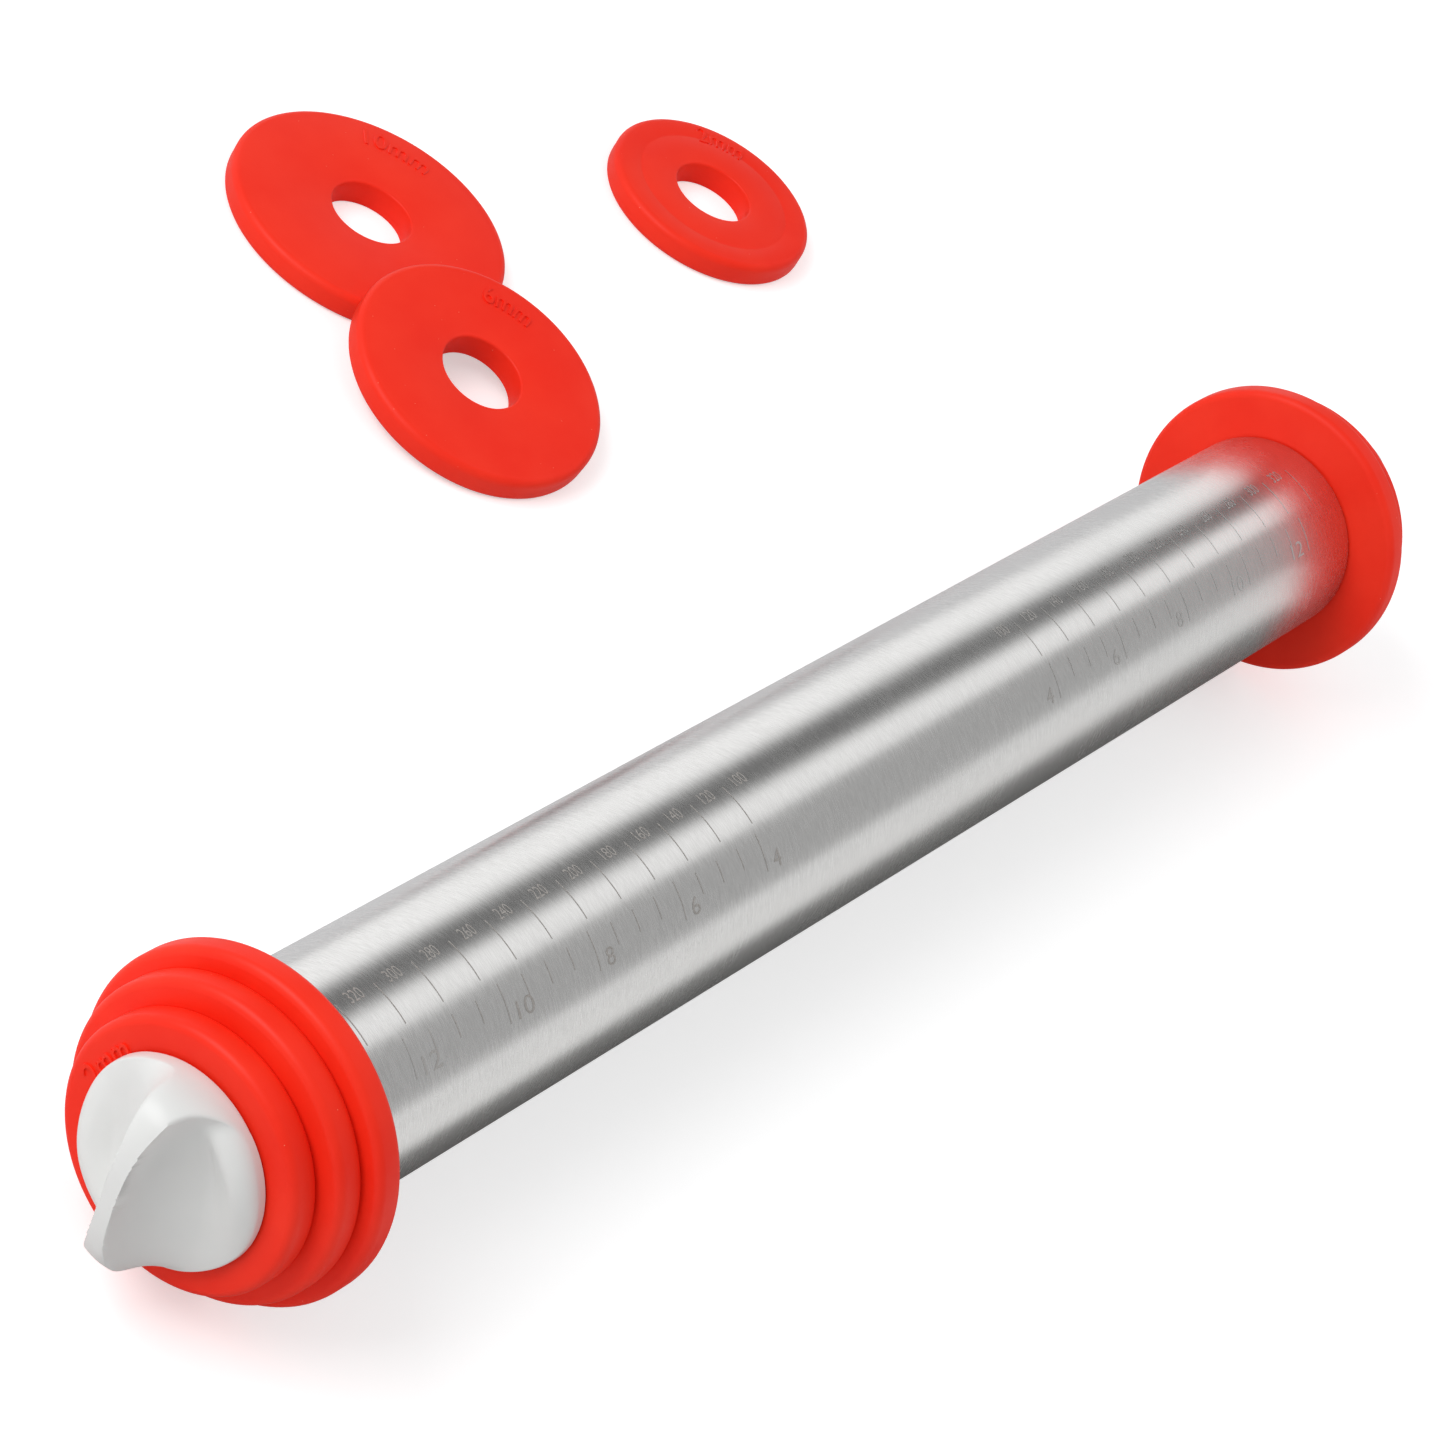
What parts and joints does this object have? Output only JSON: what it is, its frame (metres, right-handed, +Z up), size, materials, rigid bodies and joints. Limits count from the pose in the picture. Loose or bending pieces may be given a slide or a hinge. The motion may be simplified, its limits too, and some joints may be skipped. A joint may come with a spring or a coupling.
{
  "type": "adjustable rolling pin",
  "caption": "Steel rolling pin whose silicone thickness rings are clamped at both ends by screw-on finned knobs, with loose rings lying behind it.",
  "frame": {"origin": "on the surface below, at the middle of the box around the pin and its loose rings", "axes": "+X along the barrel, +Y from the pin towards the loose rings, +Z up"},
  "size_m": [0.4088, 0.229, 0.0622],
  "materials": {
    "barrel_steel": "brushed around the barrel, with a fine engraved rule",
    "ring_silicone": "matt moulded silicone",
    "knob_plastic": "satin moulded plastic",
    "plug_plastic": "plain moulded plastic, hidden in the barrel"
  },
  "bodies": {
    "barrel": {"barrel_tube": "barrel_steel", "end_plug_left": "plug_plastic", "end_plug_right": "plug_plastic"},
    "ring_10mm_left": {"ring_10mm_left": "ring_silicone"},
    "ring_6mm_left": {"ring_6mm_left": "ring_silicone"},
    "ring_2mm_left": {"ring_2mm_left": "ring_silicone"},
    "knob_left": {"knob_left": "knob_plastic", "knob_screw_left": "knob_plastic"},
    "ring_10mm_right": {"ring_10mm_right": "ring_silicone"},
    "ring_6mm_right": {"ring_6mm_right": "ring_silicone"},
    "ring_2mm_right": {"ring_2mm_right": "ring_silicone"},
    "knob_right": {"knob_right": "knob_plastic", "knob_screw_right": "knob_plastic"},
    "spare_ring_10mm": {"spare_ring_10mm": "ring_silicone"},
    "spare_ring_6mm": {"spare_ring_6mm": "ring_silicone"},
    "spare_ring_2mm": {"spare_ring_2mm": "ring_silicone"}
  },
  "joints": [
    {"name": "ring_10mm_left_slide", "type": "slide", "parent": "barrel", "child": "ring_10mm_left", "axis": [-1, 0, 0], "range_m": [0, 0.0045]},
    {"name": "ring_6mm_left_slide", "type": "slide", "parent": "barrel", "child": "ring_6mm_left", "axis": [-1, 0, 0], "range_m": [0, 0.009]},
    {"name": "ring_2mm_left_slide", "type": "slide", "parent": "barrel", "child": "ring_2mm_left", "axis": [-1, 0, 0], "range_m": [0, 0.0135]},
    {"name": "knob_left_turn", "type": "hinge", "parent": "ring_2mm_left", "child": "knob_left", "pos_m": [-0.1884, -0.08342, 0.03108], "axis": [-1, 0, 0], "range_deg": [0, 1080]},
    {"name": "ring_10mm_right_slide", "type": "slide", "parent": "barrel", "child": "ring_10mm_right", "axis": [1, 0, 0], "range_m": [0, 0.0045]},
    {"name": "ring_6mm_right_slide", "type": "slide", "parent": "barrel", "child": "ring_6mm_right", "axis": [1, 0, 0], "range_m": [0, 0.009]},
    {"name": "ring_2mm_right_slide", "type": "slide", "parent": "barrel", "child": "ring_2mm_right", "axis": [1, 0, 0], "range_m": [0, 0.0135]},
    {"name": "knob_right_turn", "type": "hinge", "parent": "ring_2mm_right", "child": "knob_right", "pos_m": [0.1884, -0.08342, 0.03108], "axis": [1, 0, 0], "range_deg": [0, 1080]},
    {"name": "spare_ring_10mm_lift", "type": "slide", "parent": "barrel", "child": "spare_ring_10mm", "axis": [0, 0, 1], "range_m": [0, 0.05]},
    {"name": "spare_ring_6mm_lift", "type": "slide", "parent": "spare_ring_10mm", "child": "spare_ring_6mm", "axis": [0, 0, 1], "range_m": [0, 0.05]},
    {"name": "spare_ring_2mm_lift", "type": "slide", "parent": "barrel", "child": "spare_ring_2mm", "axis": [0, 0, 1], "range_m": [0, 0.05]}
  ],
  "couplings": [
    {"joint": "ring_10mm_left_slide", "follows": "knob_left_turn", "m_per_rad": 0.00023873},
    {"joint": "ring_6mm_left_slide", "follows": "knob_left_turn", "m_per_rad": 0.00047746},
    {"joint": "ring_2mm_left_slide", "follows": "knob_left_turn", "m_per_rad": 0.00071619},
    {"joint": "ring_10mm_right_slide", "follows": "knob_right_turn", "m_per_rad": 0.00023873},
    {"joint": "ring_6mm_right_slide", "follows": "knob_right_turn", "m_per_rad": 0.00047746},
    {"joint": "ring_2mm_right_slide", "follows": "knob_right_turn", "m_per_rad": 0.00071619}
  ]
}
